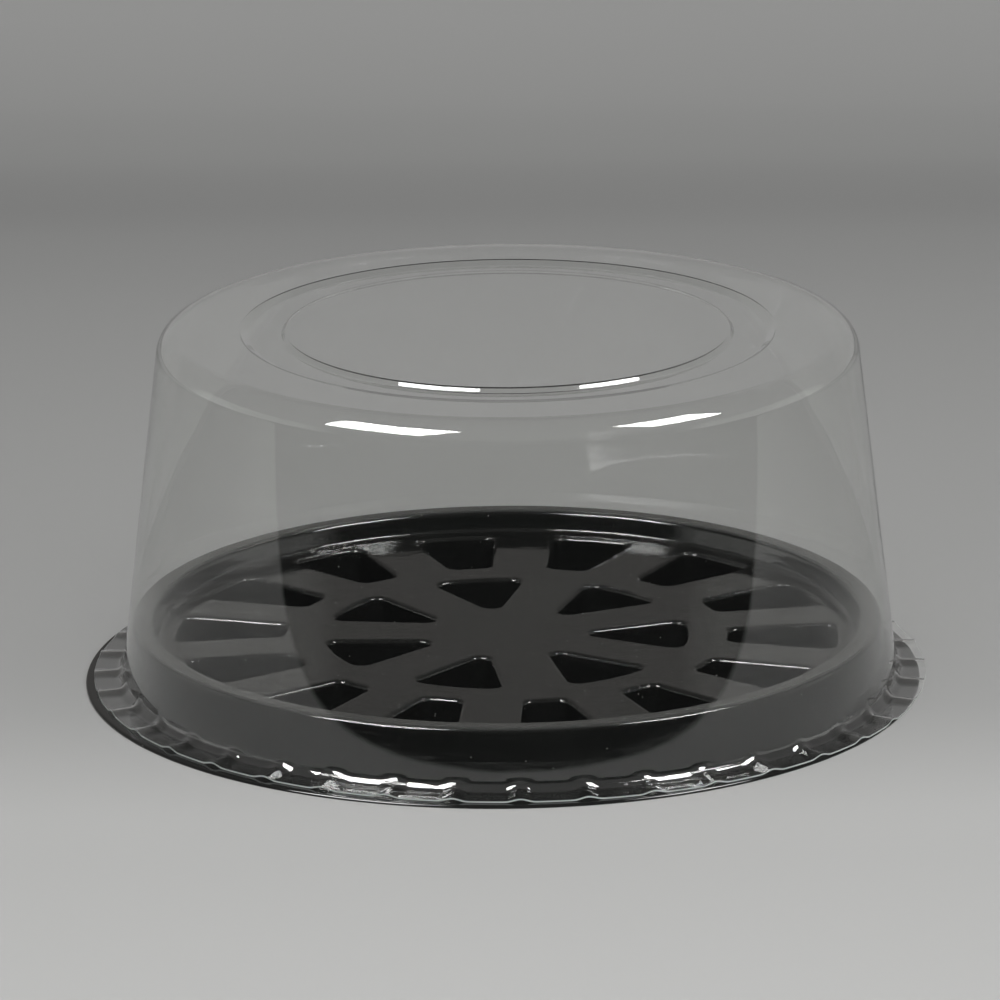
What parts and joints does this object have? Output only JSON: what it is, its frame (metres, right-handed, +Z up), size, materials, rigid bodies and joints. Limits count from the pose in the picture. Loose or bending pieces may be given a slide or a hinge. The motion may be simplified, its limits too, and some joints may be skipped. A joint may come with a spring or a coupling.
{
  "type": "humidity dome tray",
  "caption": "Round black formed tray with raised ring and welled deck under a clear lift-off dome lid with scalloped rim.",
  "frame": {"origin": "centre of the tray's raised ring, on the surface the tray stands on", "axes": "+Z up along the lid's lift, +X to the right of the picture, +Y away from the viewer"},
  "size_m": [0.2779, 0.2778, 0.1185],
  "materials": {
    "tray": "gloss black formed polystyrene",
    "lid": "clear gloss formed PET"
  },
  "bodies": {
    "tray": {"base_tray": "tray"},
    "lid": {"dome_lid": "lid"}
  },
  "joints": [
    {"name": "lid_lift", "type": "slide", "parent": "tray", "child": "lid", "axis": [0, 0, 1], "range_m": [0, 0.15]}
  ]
}
